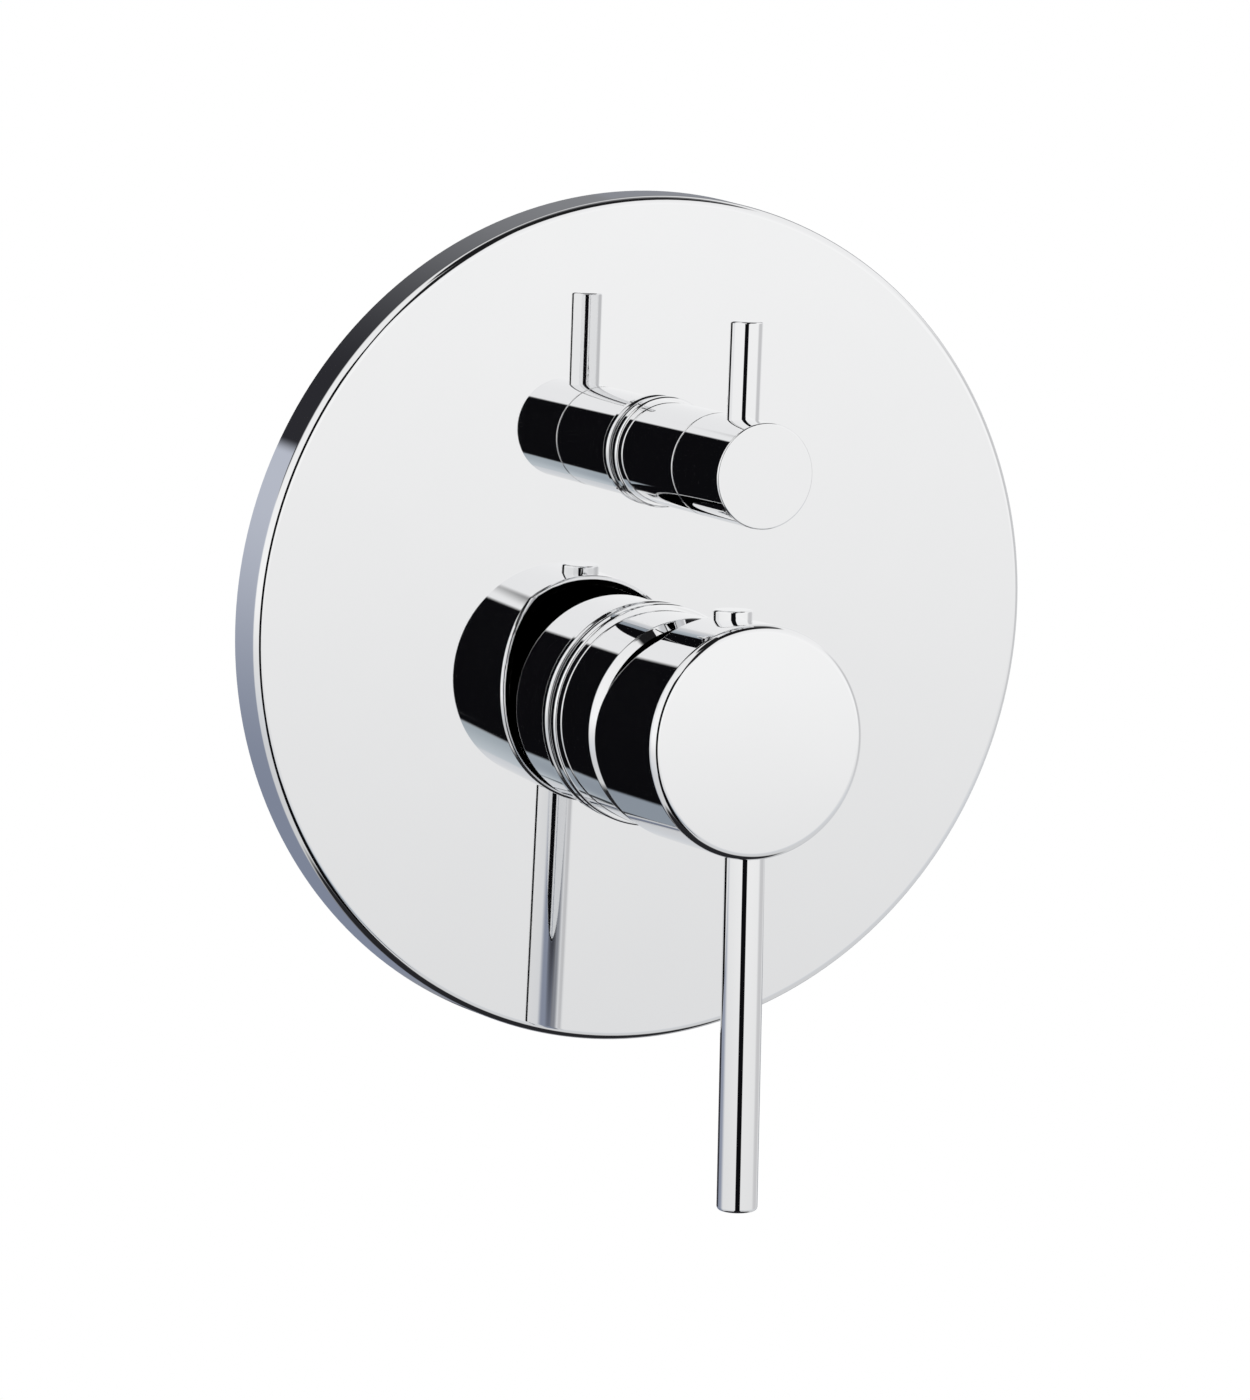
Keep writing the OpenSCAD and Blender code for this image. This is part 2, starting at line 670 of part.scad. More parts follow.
// Brass bush that holds the diverter's discs in the body and carries the sleeve
module diverter_bush() {
    window_w = 7;
    color(brass) control_frame(diverter_z) difference() {
        union() {
            translate([0, 0, web_back]) cylinder(r = bush_thread_r, h = bush_flange_back - web_back);
            translate([0, 0, bush_flange_back])
                cylinder(r = small_barrel_d / 2 - 1.5, h = bush_flange_front - bush_flange_back, $fn = 6);
            translate([0, 0, bush_flange_back]) cylinder(r = bush_top_r, h = bush_front - bush_flange_back);
            translate([0, 0, small_fixed_back]) cylinder(r = nose_r, h = web_back + cut - small_fixed_back);
        }
        translate([0, 0, small_fixed_back - cut]) cylinder(r = nose_bore_r, h = web_back - small_fixed_back + cut);
        translate([0, 0, web_back - cut]) cylinder(r = bush_bore_r, h = bush_front - web_back + 2 * cut);
        for (turn = [0, 90])
            rotate([0, 0, turn]) translate([-nose_r - cut, -window_w / 2, small_moving_front + 0.5])
                cube([2 * nose_r + 2 * cut, window_w, web_back - small_moving_front - 0.8]);
    }
}

module bush_washer() {
    color(rubber) control_frame(diverter_z)
        ring(bush_thread_r + 0.1, bush_thread_r + 2.2, neck_front, bush_flange_back);
}

// Rotating disc: its opening lies over one port at each end of a quarter turn
module diverter_moving_disc() {
    color(ceramic) control_frame(diverter_z) difference() {
        translate([0, 0, small_moving_back]) cylinder(r = small_disc_r, h = small_disc_h);
        rotate([0, 0, -45]) translate([-small_disc_r + 0.9, -tongue_w / 2 - seat, small_moving_front - 1.6])
            cube([2 * small_disc_r - 1.8, tongue_w + 2 * seat, 3]);
        translate([small_port_at, small_port_at, small_moving_back - cut])
            cylinder(r = small_port_r, h = small_disc_h + 2 * cut);
    }
}

module diverter_fixed_disc() {
    color(ceramic) control_frame(diverter_z) difference() {
        translate([0, 0, small_fixed_back]) cylinder(r = small_disc_r, h = small_disc_h);
        for (side = [-1, 1])
            translate([small_port_at, side * small_port_at, small_fixed_back - cut])
                cylinder(r = small_port_r, h = small_disc_h + 2 * cut);
    }
}

module diverter_seat_seal() {
    color(rubber) control_frame(diverter_z) difference() {
        translate([0, 0, small_chamber_floor]) cylinder(r = nose_r - 0.5, h = seat_seal_h);
        for (side = [-1, 1])
            translate([small_port_at, side * small_port_at, small_chamber_floor - cut])
                cylinder(r = small_port_r, h = seat_seal_h + 2 * cut);
    }
}

// Cylinder along local Z of the control frame at a place given by x, z and its two ends
module drill(x, z, r, back, front) {
    translate([x, -back, z]) rotate([90, 0, 0]) cylinder(r = r, h = front - back);
}

// Pipe end: hexagon outside, at the end of a round arm that starts at the middle
module pipe_arm(length) {
    cylinder(d = hex_w - 3, h = length - 1);
    translate([0, 0, length - thread_l + 1]) cylinder(r = socket_hex_r, h = thread_l - 1, $fn = 6);
}

module pipe_bore(length, start) {
    translate([0, 0, start]) cylinder(d = waterway_d, h = length - start);
    translate([0, 0, length - thread_l]) cylinder(d = thread_d, h = thread_l + cut);
}

// Points a child's local Z along +X, -X, +Z or -Z from the pipe plane on an axis height
module pipe_at(z, direction) {
    translate([0, pipe_depth, z]) rotate(direction) children();
}

// Four lugs with fixing holes on arms from the barrel
module lugs() {
    lug_r = fixing_d / 2 + 5;
    arm_l = sqrt(fixing_x * fixing_x + fixing_z * fixing_z) / 2;
    arm_angle = atan2(fixing_z, fixing_x);
    translate([0, body_depth, main_z]) rotate([90, 0, 0]) for (a = [arm_angle, 180 - arm_angle, 180 + arm_angle, -arm_angle]) {
        rotate([0, 0, a]) translate([0, -lug_r + 1.5, 0]) cube([arm_l, 2 * lug_r - 3, lug_h - 1]);
        rotate([0, 0, a]) translate([arm_l, 0, 0]) cylinder(r = lug_r, h = lug_h);
    }
}

// One brass casting: both chambers, hot and cold inlets at the sides, outlets above and below
module valve_body() {
    up = [0, 0, 0];
    down = [180, 0, 0];
    right = [0, 90, 0];
    left = [0, -90, 0];
    lower_arm = lower_outlet_z + main_z;
    upper_arm = upper_outlet_z - diverter_z;
    color(brass) difference() {
        union() {
            drill(0, main_z, barrel_d / 2, -body_depth, -4);
            drill(0, main_z, collar_r, -5, collar_front);
            drill(0, diverter_z, small_barrel_d / 2, -body_depth + 4, neck_front);
            translate([-13, -chamber_floor - 4.5, main_z])
                cube([26, body_depth + chamber_floor + 3, diverter_z - main_z]);
            translate([-9.5, pipe_depth, link_z - 6])
                cube([19, body_depth - pipe_depth - 0.5, diverter_z - link_z]);
            pipe_at(main_z, right) pipe_arm(inlet_reach);
            pipe_at(main_z, left) pipe_arm(inlet_reach);
            pipe_at(diverter_z, up) pipe_arm(upper_arm);
            pipe_at(main_z, down) pipe_arm(lower_arm);
            lugs();
        }
        // main chamber, thread for the nut and the three ports
        drill(0, main_z, cartridge_r + seat, chamber_floor, collar_front + cut);
        drill(0, main_z, nut_r + seat, shoulder_out - 1, collar_front + cut);
        for (side = [-1, 1])
            drill(side * port_x, main_z - port_drop, port_d / 2, -pipe_depth, chamber_floor + cut);
        drill(0, main_z, port_d / 2, mixed_gallery_out, chamber_floor + cut);
        // inlets
        pipe_at(main_z, right) pipe_bore(inlet_reach, port_x - port_d / 2);
        pipe_at(main_z, left) pipe_bore(inlet_reach, port_x - port_d / 2);
        // mixed water up to the diverter's chamber
        translate([0, -mixed_gallery_out, main_z])
            cylinder(r = gallery_r, h = annulus_z + 1 - main_z);
        drill(0, annulus_z, 1.7, mixed_gallery_out, small_chamber_floor + cut);
        // diverter's chamber and its two ports
        drill(0, diverter_z, bush_thread_r + seat, small_chamber_floor, neck_front + cut);
        drill(small_port_at, diverter_z + small_port_at, small_port_r, -pipe_depth, small_chamber_floor + cut);
        drill(small_port_at, diverter_z - small_port_at, small_port_r, lower_gallery_out, small_chamber_floor + cut);
        // upper outlet
        pipe_at(diverter_z, up) pipe_bore(upper_arm, small_port_at / 2);
        // lower outlet, reached behind the main chamber
        translate([0, -lower_gallery_out, link_z])
            cylinder(r = lower_gallery_r, h = diverter_z - small_port_at - link_z);
        drill(0, link_z, lower_gallery_r, lower_gallery_out, -pipe_depth);
        pipe_at(main_z, down) pipe_bore(lower_arm, main_z - link_z - 5);
        // wall fixing holes
        for (sx = [-1, 1], sz = [-1, 1])
            drill(sx * fixing_x / 2, main_z + sz * fixing_z / 2, fixing_d / 2, -body_depth - cut, lug_h - body_depth + cut);
    }
}

escutcheon_plate();
plate_gasket();
main_sleeve();
main_foot_seal();
handle_body();
handle_lever();
handle_screw();
index_plug();
spindle();
pivot_pin();
cartridge_rotor();
cartridge_housing();
cartridge_nut();
disc_carrier();
moving_disc();
fixed_disc();
disc_seal();
cartridge_base();
base_seals();
diverter_sleeve();
diverter_foot_seal();
diverter_knob();
diverter_lever();
diverter_screw();
diverter_spindle();
stem_seals();
stem_clip();
diverter_bush();
bush_washer();
diverter_moving_disc();
diverter_fixed_disc();
diverter_seat_seal();
valve_body();
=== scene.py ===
import bpy, bmesh, json, math
from mathutils import Vector, Matrix


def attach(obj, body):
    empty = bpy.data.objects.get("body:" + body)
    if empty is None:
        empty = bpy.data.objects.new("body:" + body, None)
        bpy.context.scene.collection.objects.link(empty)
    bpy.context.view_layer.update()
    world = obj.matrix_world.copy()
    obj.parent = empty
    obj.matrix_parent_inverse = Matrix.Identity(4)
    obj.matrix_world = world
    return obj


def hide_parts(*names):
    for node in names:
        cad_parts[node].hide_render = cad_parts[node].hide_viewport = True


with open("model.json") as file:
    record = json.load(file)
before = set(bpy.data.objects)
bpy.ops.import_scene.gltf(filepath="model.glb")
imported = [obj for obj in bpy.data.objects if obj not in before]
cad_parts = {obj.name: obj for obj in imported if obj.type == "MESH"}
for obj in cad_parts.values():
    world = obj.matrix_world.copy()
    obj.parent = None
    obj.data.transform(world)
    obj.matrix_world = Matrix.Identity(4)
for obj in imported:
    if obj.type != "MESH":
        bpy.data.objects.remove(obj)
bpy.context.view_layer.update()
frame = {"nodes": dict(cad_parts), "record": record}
MM = 0.001

# Sizes in mm, as in the part's source. REACH, BACK and OUT count from the plate's face, but a lever's reach
# counts from its control's axis, and PIVOT, FOOT_OUT and SPIGOT_BACK count from the wall. RAKE is in degrees.
PLATE_R, PLATE_DEPTH, PLATE_WALL, PLATE_EDGE, PLATE_INNER_EDGE = 90.0, 10.0, 1.2, 1.8, 0.6
MAIN_Z, DIV_Z = -19.0, 36.5
RAKE, PIVOT = 2.1, 12.0
SLEEVE_R, SLEEVE_REACH, SLEEVE_BEVEL = 22.75, 19.4, 1.4
SLEEVE_MOUTH, SLEEVE_LIP, SLEEVE_BORE = 16.0, 2.0, 20.55
SLEEVE_SPIGOT, SLEEVE_HOLE, SLEEVE_FOOT_W = SLEEVE_R - 0.85, SLEEVE_R - 0.8, 0.95
FOOT_OUT, FOOT_H, FOOT_BACK_R, FOOT_FRONT_R = PLATE_DEPTH + 0.7, 2.5, 0.8, 0.55
SPIGOT_BACK = 8.0
HANDLE_R, HANDLE_REACH, HANDLE_BACK, HANDLE_WALL, CAP_WALL, HANDLE_EDGE = 24.0, 49.7, 22.1, 2.0, 3.0, 1.7
CURVE_R, CURVE_DROP, BACK_TOP = 38.4, 6.0, 31.8
HUB_R, HUB_BORE, HUB_BACK, HUB_BORE_SHOWN = 8.5, 5.7, 28.0, 4.0
LEVER_R, LEVER_OUT, LEVER_START, LEVER_REACH, LEVER_EDGE = 4.2, 44.3, 20.0, 97.0, 0.8
PLUG_R, PLUG_OUT, PLUG_H, PLUG_SINK, PLUG_EDGE = 4.1, 36.9, 1.8, 0.15, 0.5
KNOB_R, SEAM, SEAM_GAP, KNOB_REACH, KNOB_EDGE = 10.75, 27.2, 0.3, 47.7, 0.35
KNOB_SPIGOT, KNOB_HOLE, KNOB_SLEEVE_BORE, KNOB_FOOT_W = KNOB_R - 0.9, KNOB_R - 0.85, KNOB_R - 1.6, 0.9
KNOB_BORE, KNOB_BORE_DEPTH, STEM_HOLE_R = 8.75, 3.0, 4.0
PIN_R, PIN_OUT, PIN_START, PIN_REACH, PIN_EDGE = 3.35, 37.1, KNOB_R - 2.8, 30.2, 0.5

# Fine forms that only steer the reflections, in mm, and the draft of the plate's side in degrees
PLATE_DRAFT = 3.0
SLEEVE_SOFT, SEAM_EDGE, KNOB_BACK_EDGE = 0.9, 0.2, 0.15
CROWN_R, CROWN_RISE = 790.0, 0.3
BACK_EDGE, BACK_EDGE_IN = 0.8, 0.4
# The rise of the handle's back edge has faded out this far behind its front
SWEEP_END = 6.0

SEGMENTS, BAR_SEGMENTS = 224, 128
# A corner's slope is read this share of the way to the middle of its face, so that creases stay sharp
CREASE = 0.04
# Fractal noise of the finishes, the scale of the chrome's haze, and the depth of bumps in metres
NOISE_DETAIL, NOISE_ROUGHNESS, HAZE_SCALE, BUMP_DEPTH = 3.0, 0.55, 55.0, 0.0002


class Builder:
    """Collects faces with their own corner normals, so that mirror surfaces shade exactly."""

    def __init__(self):
        self.verts, self.faces, self.normals, self.index = [], [], [], {}

    def vert(self, p, n):
        key = tuple(round(c, 6) for c in p) + tuple(round(c, 3) + 0.0 for c in n)
        if key not in self.index:
            self.index[key] = len(self.verts)
            self.verts.append(tuple(p))
        return self.index[key]

    def face(self, points, normals):
        ids = [self.vert(p, n) for p, n in zip(points, normals)]
        keep = [k for k in range(len(ids)) if ids[k] != ids[k - 1]]
        if len(set(ids[k] for k in keep)) < 3:
            return
        self.faces.append([ids[k] for k in keep])
        self.normals.extend(normals[k] for k in keep)

    def make(self, name, matrix, material, body, *nodes):
        mesh = bpy.data.meshes.new(name)
        mesh.from_pydata([matrix @ Vector(v) for v in self.verts], [], self.faces)
        turn = matrix.to_3x3().normalized()
        mesh.polygons.foreach_set("use_smooth", [True] * len(mesh.polygons))
        mesh.normals_split_custom_set([(turn @ Vector(n)).normalized() for n in self.normals])
        mesh.materials.append(material)
        o = bpy.data.objects.new(name, mesh)
        bpy.context.scene.collection.objects.link(o)
        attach(o, body)
        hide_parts(*nodes)
        return o


def line(start, end, steps=1, flip=False):
    """Straight run of a profile between two points, each (radius, out), with its normal on the right."""
    dr, do = end[0] - start[0], end[1] - start[1]
    length = math.hypot(dr, do)
    nr, no = do / length, -dr / length
    if flip:
        nr, no = -nr, -no
    return [(start[0] + dr * k / steps, start[1] + do * k / steps, nr, no) for k in range(steps + 1)]


def path(*points):
    """Straight runs from point to point."""
    return [line(p, q) for p, q in zip(points, points[1:])]


def arc(centre, radius, start, end, steps=10, hollow=False):
    """Round run of a profile; angles in degrees from the outward radius towards the room."""
    side = -1 if hollow else 1
    run = []
    for k in range(steps + 1):
        t = math.radians(start + (end - start) * k / steps)
        c, s = math.cos(t), math.sin(t)
        run.append((centre[0] + radius * c, centre[1] + radius * s, side * c, side * s))
    return run


def lathe(b, runs, segments=SEGMENTS, bend=None, extra=()):
    """Turns profile runs about local Z, which points out of the wall. bend gives the rise of a point's out
    and its two slopes, from its height, the height at which its slope is read, and its out. extra angles are
    added to the even ones."""
    turns = sorted(set([2 * math.pi * k / segments for k in range(segments)] + list(extra)))
    turns.append(turns[0])
    for run in runs:
        for p, q in zip(run, run[1:]):
            for t0, t1 in zip(turns, turns[1:]):
                quad, normals = [], []
                middle = math.sin((t0 + (t1 if t1 > t0 else 2 * math.pi)) / 2)
                for (r, o, nr, no), t in ((p, t0), (p, t1), (q, t1), (q, t0)):
                    c, s = math.cos(t), math.sin(t)
                    rise, across_y, along_o = 0.0, 0.0, 0.0
                    if bend:
                        rise, across_y, along_o = bend(r * s, r * ((1 - CREASE) * s + CREASE * middle), o)
                    quad.append((r * c, r * s, o + rise))
                    normals.append((nr * c * (1 + along_o), nr * s * (1 + along_o) - across_y * no, no))
                b.face(quad, normals)


def control(z):
    """Local frame of a control: local Z out of the wall, local Y up, in metres."""
    turn = Matrix.Rotation(math.radians(90), 4, "X")
    return Matrix.Translation((0, 0, z * MM)) @ turn @ Matrix.Scale(MM, 4)


def raked():
    """Local frame of the handle, which leans out about its pivot at the closed stop."""
    turn = Matrix.Rotation(math.radians(90 - RAKE), 4, "X")
    to_pivot = Matrix.Translation((0, -PIVOT * MM, MAIN_Z * MM))
    return to_pivot @ turn @ Matrix.Scale(MM, 4) @ Matrix.Translation((0, 0, -PIVOT))


def across(base, out, up):
    """Frame of a pin that points up or down from a control's axis at a distance from the wall."""
    return base @ Matrix.Translation((0, 0, out)) @ Matrix.Rotation(math.radians(-90 if up else 90), 4, "X")


# Materials
def new_material(name):
    m = bpy.data.materials.new(name)
    m.use_nodes = True
    return m, m.node_tree, m.node_tree.nodes.get("Principled BSDF")


def object_noise(t, scale):
    co = t.nodes.new("ShaderNodeTexCoord")
    n = t.nodes.new("ShaderNodeTexNoise")
    n.inputs["Scale"].default_value = scale
    n.inputs["Detail"].default_value = NOISE_DETAIL
    n.inputs["Roughness"].default_value = NOISE_ROUGHNESS
    t.links.new(co.outputs["Object"], n.inputs["Vector"])
    return n.outputs["Fac"]


def ranged(t, source, low, high):
    m = t.nodes.new("ShaderNodeMapRange")
    m.inputs["To Min"].default_value = low
    m.inputs["To Max"].default_value = high
    t.links.new(source, m.inputs["Value"])
    return m.outputs["Result"]


def tinted(t, source, tone_a, tone_b):
    m = t.nodes.new("ShaderNodeMix")
    m.data_type = "RGBA"
    m.inputs["A"].default_value = (*tone_a, 1)
    m.inputs["B"].default_value = (*tone_b, 1)
    t.links.new(source, m.inputs["Factor"])
    return m.outputs["Result"]


def chrome(name, low, high):
    """Mirror finish with a faint haze, its roughness between low and high."""
    m, t, b = new_material(name)
    b.inputs["Metallic"].default_value = 1.0
    haze = object_noise(t, HAZE_SCALE)
    t.links.new(tinted(t, haze, (0.900, 0.903, 0.908), (0.916, 0.918, 0.922)), b.inputs["Base Color"])
    t.links.new(ranged(t, haze, low, high), b.inputs["Roughness"])
    return m


def grained(name, tones, rough, grain, bump, metallic=0.0, finer=5, specular=0.5):
    """Finish whose tone and roughness vary with one noise, with a bump from a finer one."""
    m, t, b = new_material(name)
    b.inputs["Metallic"].default_value = metallic
    b.inputs["Specular IOR Level"].default_value = specular
    noise = object_noise(t, grain)
    t.links.new(tinted(t, noise, *tones), b.inputs["Base Color"])
    t.links.new(ranged(t, noise, *rough), b.inputs["Roughness"])
    n = t.nodes.new("ShaderNodeBump")
    n.inputs["Strength"].default_value = bump
    n.inputs["Distance"].default_value = BUMP_DEPTH
    t.links.new(object_noise(t, grain * finer), n.inputs["Height"])
    t.links.new(n.outputs["Normal"], b.inputs["Normal"])
    return m


METAL = {"metallic": 1.0, "finer": 6}
CHROME = chrome("chrome_trim_finish", 0.012, 0.03)
CHROME_PLATE = chrome("chrome_plate_finish", 0.010, 0.022)
BRASS = grained("cast_brass", ((0.62, 0.44, 0.19), (0.74, 0.56, 0.28)), (0.30, 0.46), 90.0, 0.35, **METAL)
SLOTS = {
    "chrome_plate": CHROME_PLATE,
    "chrome_trim": CHROME,
    "brass": grained("machined_brass", ((0.70, 0.52, 0.24), (0.78, 0.60, 0.31)),
                     (0.16, 0.26), 160.0, 0.06, **METAL),
    "steel": grained("turned_steel", ((0.52, 0.52, 0.53), (0.62, 0.62, 0.63)),
                     (0.2, 0.32), 220.0, 0.08, **METAL),
    "rubber": grained("black_rubber", ((0.012, 0.012, 0.013), (0.022, 0.022, 0.024)),
                      (0.45, 0.62), 140.0, 0.1),
    "foam": grained("dark_foam", ((0.020, 0.020, 0.022), (0.045, 0.045, 0.048)),
                    (0.8, 0.95), 900.0, 0.7, specular=0.2),
    "ceramic": grained("white_ceramic", ((0.80, 0.79, 0.75), (0.86, 0.85, 0.82)),
                       (0.12, 0.2), 60.0, 0.02),
    "white_plastic": grained("white_plastic", ((0.66, 0.66, 0.64), (0.72, 0.72, 0.70)),
                             (0.4, 0.5), 80.0, 0.06),
    "grey_plastic": grained("grey_plastic", ((0.085, 0.09, 0.1), (0.11, 0.115, 0.125)),
                            (0.4, 0.52), 80.0, 0.06),
}
for part in frame["record"]["subparts"]:
    o = frame["nodes"][part["node"]]
    o.data.materials.clear()
    o.data.materials.append(BRASS if part["node"] == "valve_body" else SLOTS[part["material_slot"]])


# The plate
def filled(b, loops, o, facing):
    """Flat face bounded by an outer loop and the loops of its holes, which faces the room if facing is 1 and
    the wall if it is -1."""
    bm = bmesh.new()
    edges = []
    for loop in loops:
        vs = [bm.verts.new((x, y, o)) for x, y in loop]
        edges += [bm.edges.new((vs[k - 1], vs[k])) for k in range(len(vs))]
    made = bmesh.ops.triangle_fill(bm, use_beauty=True, use_dissolve=False, edges=edges)
    for f in made["geom"]:
        if isinstance(f, bmesh.types.BMFace):
            pts = [tuple(v.co) for v in f.verts]
            f.normal_update()
            if (f.normal.z > 0) != (facing > 0):
                pts.reverse()
            b.face(pts, [(0, 0, facing)] * len(pts))
    bm.free()


def ring_points(r, cy=0.0):
    turns = [2 * math.pi * k / SEGMENTS for k in range(SEGMENTS)]
    return [(r * math.cos(t), cy + r * math.sin(t)) for t in turns]


b = Builder()
draft = math.radians(PLATE_DRAFT)
inner_r, back = PLATE_R - PLATE_WALL, PLATE_DEPTH - PLATE_WALL
edge_o = PLATE_DEPTH - PLATE_EDGE
holes = [(SLEEVE_HOLE, MAIN_Z), (KNOB_HOLE, DIV_Z)]
hole_loops = [ring_points(r, z) for r, z in holes]
round_o = edge_o + PLATE_EDGE * math.sin(draft)
round_r = PLATE_R - round_o * math.tan(draft)
face_r = round_r - PLATE_EDGE * math.cos(draft)
inner_face_r = inner_r - 2 * PLATE_INNER_EDGE
lathe(b, [line((PLATE_R, 0), (round_r, round_o), 4),
          arc((face_r, edge_o), PLATE_EDGE, PLATE_DRAFT, 90, 24),
          line((inner_r - PLATE_INNER_EDGE, back - PLATE_INNER_EDGE), (inner_r, 0), 3),
          arc((inner_face_r, back - PLATE_INNER_EDGE), PLATE_INNER_EDGE, 90, 0, 6, hollow=True),
          line((inner_r, 0), (PLATE_R, 0))])
filled(b, [ring_points(face_r)] + hole_loops, PLATE_DEPTH, 1)
filled(b, [ring_points(inner_face_r)] + hole_loops, back, -1)
for (r, z), loop in zip(holes, hole_loops):
    for k in range(len(loop)):
        p, q = loop[k - 1], loop[k]
        n1, n2 = (-p[0] / r, (z - p[1]) / r, 0), (-q[0] / r, (z - q[1]) / r, 0)
        b.face([(*q, back), (*p, back), (*p, PLATE_DEPTH), (*q, PLATE_DEPTH)], [n2, n1, n1, n2])
plate = b.make("plate_shell", control(0), CHROME_PLATE, "fixed", "escutcheon_plate")


# The two fixed sleeves
def foot(r, wide, spigot):
    """Profile of a sleeve's foot ring, from the spigot to the sleeve's own wall."""
    edge, front = r + wide, FOOT_OUT + FOOT_H
    return [line((spigot, FOOT_OUT), (edge - FOOT_BACK_R, FOOT_OUT)),
            arc((edge - FOOT_BACK_R, FOOT_OUT + FOOT_BACK_R), FOOT_BACK_R, -90, 0, 12),
            line((edge, FOOT_OUT + FOOT_BACK_R), (edge, front - FOOT_FRONT_R)),
            arc((edge - FOOT_FRONT_R, front - FOOT_FRONT_R), FOOT_FRONT_R, 0, 90, 12),
            line((edge - FOOT_FRONT_R, front), (r, front))]


b = Builder()
top = PLATE_DEPTH + SLEEVE_REACH
lip_o, bevel_r = top - SLEEVE_LIP, SLEEVE_R - SLEEVE_BEVEL
soft_o = top - SLEEVE_BEVEL - SLEEVE_SOFT * math.tan(math.radians(22.5))
cos_45 = math.sqrt(0.5)
lathe(b, [*foot(SLEEVE_R, SLEEVE_FOOT_W, SLEEVE_SPIGOT),
          line((SLEEVE_R, FOOT_OUT + FOOT_H), (SLEEVE_R, soft_o), 3),
          arc((SLEEVE_R - SLEEVE_SOFT, soft_o), SLEEVE_SOFT, 0, 45, 10),
          line((SLEEVE_R - SLEEVE_SOFT * (1 - cos_45), soft_o + SLEEVE_SOFT * cos_45), (bevel_r, top), 3),
          *path((bevel_r, top), (SLEEVE_MOUTH, top), (SLEEVE_MOUTH, lip_o), (SLEEVE_BORE, lip_o)),
          line((SLEEVE_BORE, lip_o), (SLEEVE_BORE, SPIGOT_BACK), 3),
          *path((SLEEVE_BORE, SPIGOT_BACK), (SLEEVE_SPIGOT, SPIGOT_BACK), (SLEEVE_SPIGOT, FOOT_OUT))])
sleeve = b.make("handle_sleeve", control(MAIN_Z), CHROME, "fixed", "main_sleeve")

b = Builder()
top = PLATE_DEPTH + SEAM
lathe(b, [*foot(KNOB_R, KNOB_FOOT_W, KNOB_SPIGOT),
          line((KNOB_R, FOOT_OUT + FOOT_H), (KNOB_R, top - SEAM_EDGE), 4),
          arc((KNOB_R - SEAM_EDGE, top - SEAM_EDGE), SEAM_EDGE, 0, 90, 6),
          line((KNOB_R - SEAM_EDGE, top), (KNOB_SLEEVE_BORE, top)),
          line((KNOB_SLEEVE_BORE, top), (KNOB_SLEEVE_BORE, SPIGOT_BACK), 4),
          *path((KNOB_SLEEVE_BORE, SPIGOT_BACK), (KNOB_SPIGOT, SPIGOT_BACK), (KNOB_SPIGOT, FOOT_OUT))])
small = b.make("knob_sleeve", control(DIV_Z), CHROME, "fixed", "diverter_sleeve")

# The handle
front = PLATE_DEPTH + HANDLE_REACH + CROWN_RISE
inner = HANDLE_R - HANDLE_WALL
base_o = PLATE_DEPTH + HANDLE_BACK
sweep_o, cap_o = front - SWEEP_END, front - CAP_WALL
curve_end = math.sqrt(CURVE_R ** 2 - (CURVE_R - BACK_TOP + HANDLE_BACK) ** 2) - CURVE_DROP


def swept(y, y_in, o):
    """Rise of the back edge above its lower half, fading out towards the front, and its slopes. y is the
    point's height, y_in the height at which the slope across is read."""
    reach = sweep_o - base_o
    fade = max(0.0, min(1.0, (sweep_o - o) / reach))
    u = max(0.0, min(y, curve_end) + CURVE_DROP)
    rise = CURVE_R - math.sqrt(CURVE_R ** 2 - u * u)
    u_in = y_in + CURVE_DROP
    slope = u_in / math.sqrt(CURVE_R ** 2 - u_in * u_in) if 0.0 < u_in < curve_end + CURVE_DROP else 0.0
    return rise * fade, slope * fade, -rise / reach if 0.0 < fade else 0.0


def crown_run(tip, steps=12):
    """Profile of the crowned front, from the angle tip, in degrees, to its middle."""
    run = []
    for k in range(steps, -1, -1):
        t = math.radians(tip * k / steps)
        run.append((CROWN_R * math.sin(t), front - CROWN_R * (1 - math.cos(t)), math.sin(t), math.cos(t)))
    return run


b = Builder()
crown_tip = math.degrees(math.asin((HANDLE_R - HANDLE_EDGE) / (CROWN_R - HANDLE_EDGE)))
edge_o = front - CROWN_R + math.sqrt((CROWN_R - HANDLE_EDGE) ** 2 - (HANDLE_R - HANDLE_EDGE) ** 2)
corners = []
for r in (HANDLE_R, inner):
    corner = math.asin(curve_end / r)
    corners += [corner, math.pi - corner]
lathe(b, [arc((HANDLE_R - BACK_EDGE, base_o + BACK_EDGE), BACK_EDGE, -90, 0, 10),
          line((HANDLE_R, base_o + BACK_EDGE), (HANDLE_R, sweep_o), 24),
          line((HANDLE_R, sweep_o), (HANDLE_R, edge_o), 2),
          arc((HANDLE_R - HANDLE_EDGE, edge_o), HANDLE_EDGE, 0, 90 - crown_tip, 24),
          crown_run(crown_tip),
          line((HANDLE_R - BACK_EDGE, base_o), (inner + BACK_EDGE_IN, base_o), 1, flip=True),
          arc((inner + BACK_EDGE_IN, base_o + BACK_EDGE_IN), BACK_EDGE_IN, 270, 180, 6),
          line((inner, base_o + BACK_EDGE_IN), (inner, sweep_o), 12, flip=True),
          line((inner, sweep_o), (inner, cap_o), 1, flip=True),
          line((inner, cap_o), (HUB_R, cap_o), 1, flip=True)], bend=swept, extra=corners)
hub_o = PLATE_DEPTH + HUB_BACK
lathe(b, [line((HUB_R, hub_o), (HUB_R, cap_o), 2), line((HUB_BORE, hub_o), (HUB_R, hub_o)),
          line((HUB_BORE, hub_o + HUB_BORE_SHOWN), (HUB_BORE, hub_o))])
handle = b.make("handle_shell", raked(), CHROME, "handle", "handle_body")


